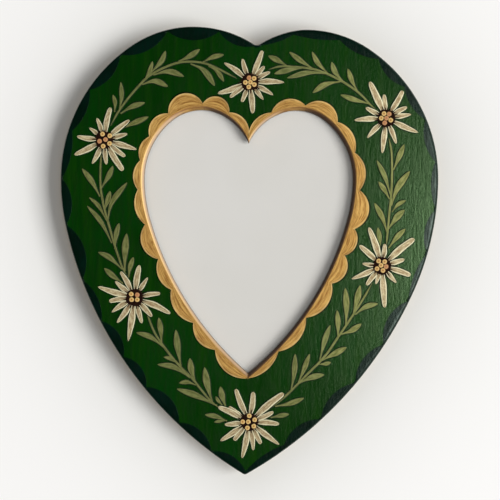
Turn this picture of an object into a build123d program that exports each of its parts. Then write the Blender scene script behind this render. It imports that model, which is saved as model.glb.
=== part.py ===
from build123d import *
import math
import os

# Heart shaped wooden photo frame for the wall, in millimetres.
# The front faces -Y, +Z is up and X = 0 is the middle. The wall is the plane Y = 0.
# The origin is the point of the wall behind the inner top of the hanger's ring, where the nail sits.
# "Out" below is a distance out from the wall, so it grows towards -Y.

# Board
frame_width = 200.0
frame_height = 237.2
board_thickness = 10.0
outer_edge_round = 1.2
frame_tip_round = 2.0
frame_notch_round = 3.0
widest_above_tip = 156.8
lobe_top_share = 0.30            # of the half width, where each lobe is highest
right_lobe_drop = 1.5            # the right lobe was sawn a little lower than the left
notch_depth = 10.3               # from the left lobe's top down to the notch
notch_shift = 3.8                # the notch lies a little right of the middle
frame_tip_slope = 30.0           # degrees
frame_notch_slope = 34.5         # degrees
frame_right_lead_shares = (0.69, 0.72, 0.18)
frame_left_lead_shares = (0.87, 0.72, 0.18)

# Heart shaped opening, at the pane. Its wall slopes out from there to the front.
side_width = 44.5                # wood beside the opening, at the widest place
top_width = 43.8                 # wood above the opening, at the lobes
tip_width = 53.5                 # wood below the opening, at the tip
opening_slope_width = 1.8        # how much wider the opening is all round at the front
opening_lobe_top_share = 0.45    # of the opening's half width
opening_notch_depth = 17.6
opening_tip_shift = 1.1          # the opening's tip was sawn a little right of the middle
opening_tip_slope = 40.0         # degrees
opening_notch_slope = 66.0       # degrees
opening_lead_shares = (0.83, 0.68, 0.17)

# Rebate in the back and what lies in it
lip_width = 7.0
insert_clearance = 0.5
pane_thickness = 1.5
card_thickness = 1.5
backing_thickness = 3.0

# Screws
button_shank_radius = 1.5
button_head_radius = 2.9
button_head_height = 1.3
button_screw_length = 7.0        # below the button, in the wood
hanger_shank_radius = 1.1
hanger_head_radius = 2.0
hanger_head_height = 1.2
hanger_screw_length = 7.0        # below the plate, in the wood
point_length = 2.0
point_share = 0.15               # of the shank's radius, left at the screw's point
slot_width = 0.6
slot_depth = 0.6
pilot_clearance = 0.05
pilot_extra_depth = 0.5
head_edge_round = 0.5

# Turn buttons that hold the backing
button_thickness = 0.8
button_pivot_radius = 4.2        # of the rounded end round the screw
button_tip_radius = 2.7
button_reach = 13.0              # from the screw to the middle of the tip's round
pivot_beyond_rebate = 6.5
running_clearance = 0.08
button_gap = 0.15                # under the button and under the screw's head

# Hanger: a plate rolled round the straight bar of a D shaped ring
stand_off = 3.5
wire_radius = 0.8
ring_half_width = 5.8            # to the middle of the wire
ring_corner_radius = 1.8
ring_rise = 9.0                  # from the bar to the top of the ring, to the middle of the wire
ring_to_notch = 4.6
knuckle_length = 7.0
knuckle_wall = 0.6
plate_width = 10.0
plate_length = 15.5              # from the bar down
plate_corner_round = 2.0
plate_thickness = 0.6
upper_screw_drop = 5.6           # below the bar
lower_screw_drop = 12.6

# Bumpers on the lower back
bumper_radius = 5.0
bumper_edge_round = 0.5
bumper_frame_share = 0.45        # along the frame's lower arc
bumper_opening_share = 0.40      # along the opening's lower arc

# Levels, up from the nail
notch_level = 2 * wire_radius + ring_to_notch
lobe_top_level = notch_level + notch_depth
frame_tip_level = lobe_top_level - frame_height
widest_level = frame_tip_level + widest_above_tip
opening_top_level = lobe_top_level - top_width
opening_tip_level = frame_tip_level + tip_width
bar_level = wire_radius - ring_rise

# The knuckle's radius, and the level of the ring's bar out from the wall
knuckle_radius = wire_radius + running_clearance + knuckle_wall
bar_out = stand_off - knuckle_radius

# Half widths
frame_half_width = frame_width / 2
opening_half_width = frame_half_width - side_width

# Layers, out from the wall
back_out = stand_off
backing_out = back_out
card_out = backing_out + backing_thickness
pane_out = card_out + card_thickness
lip_out = pane_out + pane_thickness
front_out = back_out + board_thickness


def bearing(degrees):
    """Unit direction in the drawing plane, counted from +X towards +Z."""
    return Vector(math.cos(math.radians(degrees)), math.sin(math.radians(degrees)))


def two_arcs(start, start_direction, end, end_direction, lead_share):
    """Two arcs from start to end that leave and arrive along the given directions and meet smoothly."""
    span = end - start
    lead = lead_share / (1 - lead_share)
    square = 2 * lead * (start_direction.dot(end_direction) - 1)
    linear = -2 * (lead * span.dot(start_direction) + span.dot(end_direction))
    constant = span.dot(span)
    last_arm = (-linear - math.sqrt(linear**2 - 4 * square * constant)) / (2 * square)
    first_arm = lead * last_arm
    first_corner = start + start_direction * first_arm
    last_corner = end - end_direction * last_arm
    meeting = (first_corner * last_arm + last_corner * first_arm) / (first_arm + last_arm)
    return [
        TangentArc(start, meeting, tangent=start_direction),
        TangentArc(meeting, end, tangent=last_corner - first_corner),
    ]


def half_heart(side, half_width, tip, widest, lobe, lobe_share, notch, shifts, slopes, lead_shares):
    """The arcs of one half, from the tip over the lobe to the notch. side is 1 or -1.

    shifts are how far right of the middle the tip and the notch lie."""
    tip_shift, notch_shift_right = shifts
    tip_slope, notch_slope = slopes
    points = [
        Vector(side * tip_shift, tip),
        Vector(half_width, widest),
        Vector(lobe_share * half_width, lobe),
        Vector(side * notch_shift_right, notch),
    ]
    directions = [bearing(tip_slope), bearing(90), bearing(180), bearing(180 + notch_slope)]
    arcs = []
    for index, lead_share in enumerate(lead_shares):
        arcs += two_arcs(
            points[index], directions[index], points[index + 1], directions[index + 1], lead_share
        )
    if side > 0:
        return arcs
    return [arc.mirror(Plane.YZ) for arc in arcs]


def heart(right_sizes, left_sizes, **sizes):
    """The two halves of a heart and the face that they enclose."""
    right = half_heart(1, **right_sizes, **sizes)
    left = half_heart(-1, **left_sizes, **sizes)
    return right, left, Face(Wire(right + left))


def opening(growth):
    """The opening's heart, grown all round."""
    lobe = opening_top_level + growth
    sides = {"lobe": lobe, "lead_shares": opening_lead_shares}
    return heart(
        sides,
        sides,
        half_width=opening_half_width + growth,
        tip=opening_tip_level - growth / math.cos(math.radians(opening_tip_slope)),
        widest=widest_level,
        lobe_share=opening_lobe_top_share,
        notch=lobe - opening_notch_depth,
        shifts=(opening_tip_shift, 0),
        slopes=(opening_tip_slope, opening_notch_slope),
    )


def plate_of(outline, out, thickness):
    """A flat outline as a plate that starts at a level out from the wall."""
    return extrude(Plane.XZ.offset(out) * outline, thickness)


def at(x, z, out):
    """A place on the back, with its local Z pointing into the wood."""
    return Plane.XZ.offset(out) * Pos(x, z)


def screw(shank_radius, length, head_radius, head_height):
    """A slotted screw with its head's underside at zero and its point along local +Z."""
    on_end = (Align.CENTER, Align.CENTER, Align.MIN)
    shank = Cylinder(shank_radius, length - point_length, align=on_end)
    point = Pos(0, 0, length - point_length) * Cone(
        shank_radius, shank_radius * point_share, point_length, align=on_end
    )
    head = Pos(0, 0, -head_height) * Cylinder(head_radius, head_height, align=on_end)
    rim = head.edges().filter_by(GeomType.CIRCLE).sort_by(Axis.Z)[0]
    head = fillet(rim, head_edge_round)
    slot = Pos(0, 0, -head_height) * Box(2 * head_radius, slot_width, 2 * slot_depth)
    return head - slot + shank + point


def pilot_hole(shank_radius, length):
    """The hole that takes a screw's shank, from zero along local +Z."""
    depth = length + pilot_extra_depth
    return Cylinder(
        shank_radius + pilot_clearance, depth, align=(Align.CENTER, Align.CENTER, Align.MIN)
    )


# Outlines
frame_right, _, frame_face = heart(
    {"lobe": lobe_top_level - right_lobe_drop, "lead_shares": frame_right_lead_shares},
    {"lobe": lobe_top_level, "lead_shares": frame_left_lead_shares},
    half_width=frame_half_width,
    tip=frame_tip_level,
    widest=widest_level,
    lobe_share=lobe_top_share,
    notch=notch_level,
    shifts=(0, notch_shift),
    slopes=(frame_tip_slope, frame_notch_slope),
)
opening_right, _, opening_face = opening(0)
_, _, front_opening_face = opening(opening_slope_width)
rebate_face = offset(opening_face, lip_width)
insert_face = offset(opening_face, lip_width - insert_clearance)

# Places of the turn buttons: across, up, and the way that the tongue points
pivot_offset = lip_width + pivot_beyond_rebate
side_pivot = opening_half_width + pivot_offset
top_pivot = opening_top_level + pivot_offset
lobe_pivot = opening_lobe_top_share * opening_half_width
buttons = {
    "upper_left": (-lobe_pivot, top_pivot, -90),
    "upper_right": (lobe_pivot, top_pivot, -90),
    "left": (-side_pivot, widest_level, 0),
    "right": (side_pivot, widest_level, 180),
    "bottom": (0, opening_tip_level - pivot_offset, 90),
}

# Places of the bumpers: one between the two lower arcs of the right side, one across from it
bumper_place = (frame_right[0] @ bumper_frame_share + opening_right[0] @ bumper_opening_share) / 2
bumpers = {
    name: Vector(side * bumper_place.X, bumper_place.Y)
    for name, side in (("left", -1), ("right", 1))
}

button_seat = back_out - button_gap
button_screw_seat = button_seat - button_thickness - button_gap
hanger_screw_seat = back_out - plate_thickness
hanger_screws = {
    "upper": bar_level - upper_screw_drop,
    "lower": bar_level - lower_screw_drop,
}


def heart_frame():
    """The painted board with its opening, its rebate and the screws' pilot holes."""
    board = plate_of(frame_face, back_out, board_thickness)
    tip_edge = board.edges().filter_by(Axis.Y).sort_by(Axis.Z)[0]
    board = fillet(tip_edge, frame_tip_round)
    notch_place = (notch_shift, -back_out, notch_level)
    notch_edge = board.edges().filter_by(Axis.Y).sort_by_distance(notch_place)[0]
    board = fillet(notch_edge, frame_notch_round)
    front_edges = board.faces().sort_by(Axis.Y)[0]
    board = fillet(front_edges.outer_wire().edges(), outer_edge_round)
    back_opening = Plane.XZ.offset(lip_out) * opening_face
    front_opening = Plane.XZ.offset(front_out) * front_opening_face
    board -= loft([back_opening, front_opening], ruled=True)
    board -= plate_of(rebate_face, back_out, lip_out - back_out)
    for x, z, _ in buttons.values():
        board -= at(x, z, back_out) * pilot_hole(button_shank_radius, button_screw_length)
    for z in hanger_screws.values():
        board -= at(0, z, back_out) * pilot_hole(hanger_shank_radius, hanger_screw_length)
    return board


def turn_button(x, z, heading):
    """A flat metal tongue with a hole for its screw."""
    ends = Circle(button_pivot_radius) + Pos(button_reach, 0) * Circle(button_tip_radius)
    tongue = make_hull(ends.edges()) - Circle(button_shank_radius + running_clearance)
    outline = Rot(0, 0, heading) * tongue
    return extrude(at(x, z, button_seat - button_thickness) * outline, button_thickness)


def hanger_plate():
    """The plate on the back, with its upper end rolled round the ring's bar."""
    plate = RectangleRounded(plate_width, plate_length, plate_corner_round)
    outline = Pos(0, bar_level - plate_length / 2) * plate
    for z in hanger_screws.values():
        outline -= Pos(0, z) * Circle(hanger_shank_radius + pilot_clearance)
    body = plate_of(outline, hanger_screw_seat, plate_thickness)
    bar_place = at(0, bar_level, bar_out) * Rot(0, 90, 0)
    body += bar_place * Cylinder(knuckle_radius, knuckle_length)
    return body - bar_place * Cylinder(wire_radius + running_clearance, 2 * knuckle_length)


def hanger_ring():
    """The D shaped wire ring, standing up from its bar."""
    half_bar = ring_half_width - ring_corner_radius
    side_top = ring_rise - ring_half_width
    right = [
        Line((0, 0), (half_bar, 0)),
        TangentArc((half_bar, 0), (ring_half_width, ring_corner_radius), tangent=(1, 0)),
        Line((ring_half_width, ring_corner_radius), (ring_half_width, side_top)),
        TangentArc((ring_half_width, side_top), (0, ring_rise), tangent=(0, 1)),
    ]
    half = sweep(Plane.YZ * Circle(wire_radius), path=Wire(right))
    ring = half + half.mirror(Plane.YZ)
    return at(0, bar_level, bar_out) * ring


def bumper(place):
    """A round rubber bumper that keeps the frame off the wall."""
    disc = at(place.X, place.Y, 0) * Cylinder(
        bumper_radius, stand_off, align=(Align.CENTER, Align.CENTER, Align.MIN)
    )
    wall_side = disc.edges().filter_by(GeomType.CIRCLE).sort_by(Axis.Y)[-1]
    return fillet(wall_side, bumper_edge_round)


parts = {
    "heart_frame": heart_frame(),
    "glazing_pane": plate_of(insert_face, pane_out, pane_thickness),
    "photo_card": plate_of(insert_face, card_out, card_thickness),
    "backing_board": plate_of(insert_face, backing_out, backing_thickness),
    "hanger_plate": hanger_plate(),
    "hanger_ring": hanger_ring(),
}
for name, (x, z, heading) in buttons.items():
    parts["turn_button_" + name] = turn_button(x, z, heading)
    parts["button_screw_" + name] = at(x, z, button_screw_seat) * screw(
        button_shank_radius,
        button_screw_length + back_out - button_screw_seat,
        button_head_radius,
        button_head_height,
    )
for name, z in hanger_screws.items():
    parts["hanger_screw_" + name] = at(0, z, hanger_screw_seat) * screw(
        hanger_shank_radius,
        hanger_screw_length + plate_thickness,
        hanger_head_radius,
        hanger_head_height,
    )
for name, place in bumpers.items():
    parts["bumper_" + name] = bumper(place)

os.makedirs("parts", exist_ok=True)
for name, solid in parts.items():
    export_step(solid, "parts/" + name + ".step")
    print(name, round(solid.volume, 1), "mm3")
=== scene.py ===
import bpy
import numpy as np
from math import atan2, ceil, cos, pi, radians, sin, sqrt, tan
from mathutils import Matrix, Vector
from numpy.linalg import norm


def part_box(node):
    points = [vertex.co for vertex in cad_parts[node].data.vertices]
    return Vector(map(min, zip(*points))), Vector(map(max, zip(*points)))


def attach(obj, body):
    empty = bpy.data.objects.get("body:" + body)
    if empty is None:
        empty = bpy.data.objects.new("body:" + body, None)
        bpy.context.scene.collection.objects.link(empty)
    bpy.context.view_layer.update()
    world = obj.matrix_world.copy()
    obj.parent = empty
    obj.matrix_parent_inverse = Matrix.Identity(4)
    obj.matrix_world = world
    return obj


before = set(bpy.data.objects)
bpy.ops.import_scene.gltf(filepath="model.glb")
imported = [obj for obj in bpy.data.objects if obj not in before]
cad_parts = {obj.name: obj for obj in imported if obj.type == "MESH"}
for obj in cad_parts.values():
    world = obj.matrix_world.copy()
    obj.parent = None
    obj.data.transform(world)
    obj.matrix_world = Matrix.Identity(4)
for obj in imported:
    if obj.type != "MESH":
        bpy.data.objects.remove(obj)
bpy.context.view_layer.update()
scene = bpy.context.scene

# Heart shaped wooden frame, painted by hand. Lengths are millimetres until a mesh is made.
# X is across, Z is up, and the front faces -Y, as in the frame.
MM = 0.001

board_low, board_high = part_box("heart_frame")
pane_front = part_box("glazing_pane")[0].y / MM
board_front = board_low.y / MM
board_back = board_high.y / MM

# Shape of the board's outer edge
HALF_WIDTH = board_high.x / MM
LOBE_LEVEL = 16.5
RIGHT_LOBE_DROP = 1.5
TIP_LEVEL = -220.7
TIP_ROUND = 2.0
WIDEST_LEVEL = -63.9
LOBE_SHARE = 0.30
NOTCH_DEPTH = 10.3
NOTCH_SHIFT = 3.8
NOTCH_ROUND = 3.0
SLOPES = (30.0, 34.5)  # degrees, at the tip and at the notch
RIGHT_LEAD_SHARES = (0.69, 0.72, 0.18)
LEFT_LEAD_SHARES = (0.87, 0.72, 0.18)
EDGE_ROUND = 1.2

# Shape of the opening at the pane. Its wall slopes out from there to the front.
OPENING_HALF_WIDTH = 55.5
OPENING_TOP_LEVEL = -27.3
OPENING_TIP_LEVEL = -167.2
OPENING_LOBE_SHARE = 0.45
OPENING_NOTCH_DEPTH = 17.6
OPENING_TIP_SHIFT = 1.1
OPENING_SLOPES = (40.0, 66.0)
OPENING_LEAD_SHARES = (0.83, 0.68, 0.17)
OPENING_GROWTH = 1.8  # how much wider the opening is all round at the front

OUTLINE_STEP = 0.7
ROUND_STEPS = 8

# The photograph's camera, on a frame of 500 x 500 pixels
PIXELS = 500
FOCAL_PIXELS = 1099.5
DISTANCE = 581.0  # from the board's front, along the view
YAW = radians(2.5)
ROLL = radians(0.63)
AIM_ACROSS = 1.47  # where the view's middle line meets the front
AIM_LEVEL = -101.62
SENSOR = 36.0
NEAR_CLIP, FAR_CLIP = 0.01, 20  # metres
PIXEL_SIZE = DISTANCE / FOCAL_PIXELS  # of one pixel on the board's front

PAINT_DEPTH = 0.25  # how far the paint goes into the wood
PANE_CLEARANCE = 0.05


# Camera

def photo_view():
    """Where the camera stands, and its right, up and forward directions."""
    across = Vector((cos(YAW), sin(YAW), 0))
    upright = Vector((0, 0, 1))
    forward = Vector((-sin(YAW), cos(YAW), 0))
    right = across * cos(ROLL) + upright * sin(ROLL)
    up = upright * cos(ROLL) - across * sin(ROLL)
    eye = across * AIM_ACROSS - forward * DISTANCE + Vector((0, board_front, AIM_LEVEL))
    return eye, right, up, forward


EYE, RIGHT, UP, FORWARD = photo_view()


def on_board(pixel):
    """The place on the board's front, (across, level), that a pixel of the photograph shows."""
    ray = FORWARD * FOCAL_PIXELS + RIGHT * (pixel[0] - PIXELS / 2) - UP * (pixel[1] - PIXELS / 2)
    place = EYE + ray * ((board_front - EYE.y) / ray.y)
    return np.array((place.x, place.z))


def all_on_board(pixels):
    """The places of pixels that are given in one flat row."""
    return [on_board(pixel) for pixel in np.reshape(pixels, (-1, 2))]


def make_camera():
    data = bpy.data.cameras.new("photo_camera")
    data.sensor_width = SENSOR
    data.lens = FOCAL_PIXELS / PIXELS * SENSOR
    data.clip_start, data.clip_end = NEAR_CLIP, FAR_CLIP
    camera = bpy.data.objects.new("photo_camera", data)
    turn = Matrix((RIGHT, UP, -FORWARD)).transposed()
    camera.matrix_world = Matrix.Translation(EYE * MM) @ turn.to_4x4()
    scene.collection.objects.link(camera)
    scene.camera = camera


# Outlines

def cross(a, b):
    return a[0] * b[1] - a[1] * b[0]


def bearing(angle):
    return np.array((cos(radians(angle)), sin(radians(angle))))


def angle_of(way):
    return atan2(way[1], way[0])


def arc(start, tangent, end, count):
    """Points and headings of the arc that leaves start along tangent and ends at end.

    Without a count, its steps are as long as the outline's."""
    chord = end - start
    turn = 2 * atan2(cross(tangent, chord), tangent @ chord)
    radius = norm(chord) / (2 * sin(turn / 2))
    heading = angle_of(tangent)
    count = count or max(2, ceil(abs(radius * turn) / OUTLINE_STEP))
    headings = heading + np.linspace(0, turn, count + 1)
    centre = start + radius * np.array((-sin(heading), cos(heading)))
    points = centre + radius * np.stack((np.sin(headings), -np.cos(headings)), 1)
    return points, headings


def two_arcs(start, leave, end, arrive, lead_share, counts):
    """Two arcs that leave and arrive along the given directions and meet smoothly."""
    span = end - start
    lead = lead_share / (1 - lead_share)
    square = 2 * lead * (leave @ arrive - 1)
    linear = -2 * (lead * (span @ leave) + span @ arrive)
    last_arm = (-linear - sqrt(linear**2 - 4 * square * (span @ span))) / (2 * square)
    first_arm = lead * last_arm
    first_corner = start + leave * first_arm
    last_corner = end - arrive * last_arm
    meeting = (first_corner * last_arm + last_corner * first_arm) / (first_arm + last_arm)
    middle = (last_corner - first_corner) / norm(last_corner - first_corner)
    first = arc(start, leave, meeting, counts[0])
    last = arc(meeting, middle, end, counts[1])
    joined = [np.concatenate((a[:-1], b)) for a, b in zip(first, last)]
    return joined, (len(first[0]) - 1, len(last[0]) - 1)


def circle_through(first, middle, last):
    """The centre and radius of the circle through three places."""
    a, b = middle - first, last - first
    d = 2 * cross(a, b)
    shift = np.array((b[1] * (a @ a) - a[1] * (b @ b), a[0] * (b @ b) - b[0] * (a @ a))) / d
    return first + shift, norm(shift)


def sweep(centre, radius, start, end, count):
    """Places on a circle from one angle to another, and the ways from its centre to them."""
    angles = np.linspace(start, end, count)
    ways = np.stack((np.cos(angles), np.sin(angles)), 1)
    return centre + radius * ways, ways


def round_tip(path, out, radius, slope):
    """Rounds the tip that a half outline starts from."""
    slope = radians(slope)
    clear = norm(path - path[0], axis=1) > radius * tan(slope)
    centre = path[0] + np.array((0, radius / cos(slope)))
    bow, ways = sweep(centre, radius, -pi / 2, -pi / 2 + slope, ROUND_STEPS)
    return np.concatenate((bow, path[clear])), np.concatenate((ways, out[clear]))


def round_notch(halves, radius):
    """Rounds the notch in which two half outlines end: the arc between them, and its ways."""
    circles = [circle_through(*path[-3:]) for path, _ in halves]
    (right, right_reach), (left, left_reach) = circles
    gap = norm(left - right)
    way = (left - right) / gap
    along = ((right_reach + radius) ** 2 - (left_reach + radius) ** 2 + gap**2) / (2 * gap)
    above = sqrt((right_reach + radius) ** 2 - along**2)
    centre = right + way * along + np.array((way[1], -way[0])) * above
    kept = []
    for (path, out), (middle, reach) in zip(halves, circles):
        touch = middle + (centre - middle) * reach / (reach + radius)
        corner = path[-1]
        clear = norm(path - corner, axis=1) > norm(touch - corner)
        kept.append((path[clear], out[clear]))
    start, end = [angle_of(middle - centre) for middle, _ in circles]
    bow, ways = sweep(centre, radius, start, end, ROUND_STEPS)
    return kept, (bow, -ways)


def mitre(a, b):
    """The way out of a corner whose sides' ways out are a and b."""
    return np.array(((a + b) / ((a + b) @ a),))


def heart(sides, half_width, tip, widest, lobe_share, notch, shifts, slopes, rounds, counts=None):
    """A heart's outline from the tip up its right side and back down its left side.

    sides holds each side's lobe level and lead shares, shifts how far right of the middle the
    tip and the notch lie, rounds their radii. Gives the points, the way out of the heart at
    each, longer at a corner that stays sharp, and how many steps each arc has."""
    halves, used = [], []
    for side, (lobe, lead_shares) in zip((1, -1), sides):
        points = [
            np.array((side * shifts[0], tip)),
            np.array((half_width, widest)),
            np.array((lobe_share * half_width, lobe)),
            np.array((side * shifts[1], notch)),
        ]
        ways = [bearing(slopes[0]), bearing(90), bearing(180), bearing(180 + slopes[1])]
        path, heading = np.zeros((0, 2)), np.zeros(0)
        for i, share in enumerate(lead_shares):
            given = counts[len(used)] if counts else (None, None)
            run, steps = two_arcs(points[i], ways[i], points[i + 1], ways[i + 1], share, given)
            path = np.concatenate((path[:-1], run[0]))
            heading = np.concatenate((heading[:-1], run[1]))
            used.append(steps)
        out = np.stack((np.sin(heading), -np.cos(heading)), 1)
        if rounds:
            path, out = round_tip(path, out, rounds[0], slopes[0])
        halves.append((path * (side, 1), out * (side, 1)))
    if rounds:
        ((right, right_out), (left, left_out)), (bow, bow_out) = round_notch(halves, rounds[1])
    else:
        (right, right_out), (left, left_out) = halves
        bow, bow_out = right[-1:], mitre(right_out[-1], left_out[-1])
        right, right_out, left, left_out = right[:-1], right_out[:-1], left[:-1], left_out[:-1]
    tip_way = mitre(right_out[0], left_out[0])
    points = np.concatenate((right, bow, left[:0:-1]))
    ways = np.concatenate((tip_way, right_out[1:], bow_out, left_out[:0:-1]))
    return points, ways, used


def opening(growth, counts=None):
    lobe = OPENING_TOP_LEVEL + growth
    tip = OPENING_TIP_LEVEL - growth / cos(radians(OPENING_SLOPES[0]))
    return heart(
        [(lobe, OPENING_LEAD_SHARES)] * 2, OPENING_HALF_WIDTH + growth, tip, WIDEST_LEVEL,
        OPENING_LOBE_SHARE, lobe - OPENING_NOTCH_DEPTH, (OPENING_TIP_SHIFT, 0), OPENING_SLOPES,
        None, counts,
    )


board_outline, board_ways, _ = heart(
    [(LOBE_LEVEL - RIGHT_LOBE_DROP, RIGHT_LEAD_SHARES), (LOBE_LEVEL, LEFT_LEAD_SHARES)],
    HALF_WIDTH, TIP_LEVEL, WIDEST_LEVEL, LOBE_SHARE, LOBE_LEVEL - NOTCH_DEPTH,
    (0, NOTCH_SHIFT), SLOPES, (TIP_ROUND, NOTCH_ROUND),
)
opening_outline, opening_ways, opening_counts = opening(OPENING_GROWTH)
pane_outline, _, _ = opening(0, opening_counts)


# Meshes

def new_object(name, points, faces):
    """A linked object from points in millimetres."""
    mesh = bpy.data.meshes.new(name)
    mesh.from_pydata((np.asarray(points, float) * MM).tolist(), [], faces)
    mesh.validate()
    made = bpy.data.objects.new(name, mesh)
    scene.collection.objects.link(made)
    return made


def make_piece(name, points, faces, paint, material, body="root"):
    """A skin of paint that rides on a body, made solid by a back inside the wood.

    paint holds each point's place along and across its brush stroke and the stroke's number."""
    piece = new_object(name, points, faces)
    layer = piece.data.attributes.new("stroke", "FLOAT_VECTOR", "POINT")
    layer.data.foreach_set("vector", np.asarray(paint, np.float32).ravel())
    for polygon in piece.data.polygons:
        polygon.use_smooth = True
    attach(piece, body)
    piece.data.materials.append(material)
    solid = piece.modifiers.new("thickness", "SOLIDIFY")
    solid.thickness = PAINT_DEPTH * MM
    solid.offset = -1
    solid.use_even_offset = False
    solid.use_rim = True


def grid_faces(rows, columns, start=0, closed=False):
    """Faces of a grid whose points run row by row."""
    faces = []
    for i in range(rows if closed else rows - 1):
        j = (i + 1) % rows
        for k in range(columns - 1):
            a, b = start + i * columns + k, start + j * columns + k
            faces.append((b, b + 1, a + 1, a))
    return faces


def distance_to(outline, places):
    best = np.full(len(places), np.inf)
    for p, s in zip(outline, np.roll(outline, -1, axis=0) - outline):
        t = np.clip(((places - p) @ s) / (s @ s), 0, 1)
        best = np.minimum(best, norm(places - p - t[:, None] * s, axis=1))
    return best


def round_drop(distance, radius):
    """How far a rounded edge lies under the front, at a distance in from the edge."""
    short = np.clip(radius - distance, 0, radius)
    return radius - np.sqrt(radius**2 - short**2)


def arc_through(first, middle, last, count):
    centre, radius = circle_through(first, middle, last)
    start = angle_of(first - centre)
    through = (angle_of(middle - centre) - start) % (2 * pi)
    end = (angle_of(last - centre) - start) % (2 * pi)
    if through > end:
        end -= 2 * pi
    return sweep(centre, radius, start, start + end, count)[0]


def lengths_along(places):
    """How far along a line each of its places lies."""
    return np.concatenate(((0,), np.cumsum(norm(np.diff(places, axis=0), axis=1))))


# Painted borders

# Scallops of the ochre border, from the opening's tip up its right side and down its left, in
# pixels: where each starts at the edge, then the outermost place of its curve
OCHRE_SCALLOPS = [
    (247.6, 377, 266.5, 370.3), (277.3, 350.9, 299.2, 339.4), (305.2, 317.6, 326.6, 306),
    (331.7, 283.9, 345.7, 273.8), (344.8, 255.6, 357, 243.5), (354.8, 228.5, 369, 205.5),
    (359.6, 190.5, 365.8, 171.5), (354.7, 152.2, 354.2, 136.5), (337.5, 121.9, 326.5, 102.6),
    (306, 105.8, 289.5, 98.8), (271.9, 112.3, 256, 119), (248.6, 136.3, 241.2, 116.2),
    (229.2, 112.4, 214.2, 96.3), (203, 103.7, 185.6, 93.2), (168.7, 113, 154.3, 118),
    (149.5, 136.2, 140.3, 145), (140.1, 161, 133, 174), (137.7, 189.4, 134.4, 206),
    (145.2, 224.9, 140.9, 242.5), (158.2, 258.9, 157.5, 275), (171, 289.6, 175.6, 311.6),
    (193.4, 322.9, 198.8, 342), (215.1, 349.8, 226, 372),
]

# Dark scallops along the rim, the same way round: where the green meets it, then the innermost
# place of each curve
RIM_SCALLOPS = [
    (245.8, 471.2, 263.4, 455.3), (284.4, 444.6, 295.3, 428.2), (321.4, 419.5, 331, 396.4),
    (355.8, 382.5, 361.8, 360.6), (384.5, 345, 389.5, 315.5), (408.7, 300.6, 414, 275.5),
    (428.2, 253.5, 424, 235), (436.6, 209.5, 431, 187.5), (435.2, 162, 424.3, 140),
    (425.5, 120, 410.6, 105), (404.7, 87, 385.3, 73.6), (378.6, 58.8, 355.6, 52.4),
    (339.8, 40, 316.3, 39.2), (293.6, 34.7, 276.2, 42.3), (256.4, 45.4, 241.5, 46.4),
    (218.8, 31.6, 196.6, 40.1), (167.9, 31, 149.1, 49.7), (120, 53.5, 113.6, 73.4), (90, 89.6, 86.4, 111),
    (72, 131, 71.2, 153.9), (62, 178, 71.8, 201.4), (64.7, 225, 85.6, 253.4), (82, 280, 98.6, 300.3),
    (101.5, 320.6, 120.6, 336.6), (123.4, 356.6, 141.2, 367.8), (146.3, 387, 170.9, 399),
    (179.5, 422.9, 203.6, 433.8), (211.4, 451.4, 231.9, 455.8),
]

# Rows of a border near its curve: how far in from it, and the paint's height over the wood. The
# first row's height is the paint's everywhere else.
OCHRE_ROWS = (
    (1.3, 0.09), (0.8, 0.1), (0.5, 0.13), (0.25, 0.15), (0.0, 0.13), (-0.1, 0.04), (-0.55, -0.02)
)
RIM_ROWS = (
    (1.3, 0.05), (0.8, 0.05), (0.3, 0.05), (0.03, 0.05), (0.0, 0.05), (-0.01, 0.0), (-0.03, -0.02)
)
NEAR_SHARE = 0.35  # of the front, that these rows fill at most
FRONT_SHARES = (0.3, 0.6)  # rows over the front, before these
EDGE_ANGLES = 7  # rows round an edge
WALL_ROWS = 5
CURVE_STEP = 20.0  # how far in from the curve the pattern moves on by one
WALL_STEP = 10.0  # how deep in the wall it moves on by one
CUSP_DEPTH = 0.5  # least distance from the edge to where two scallops meet


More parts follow.
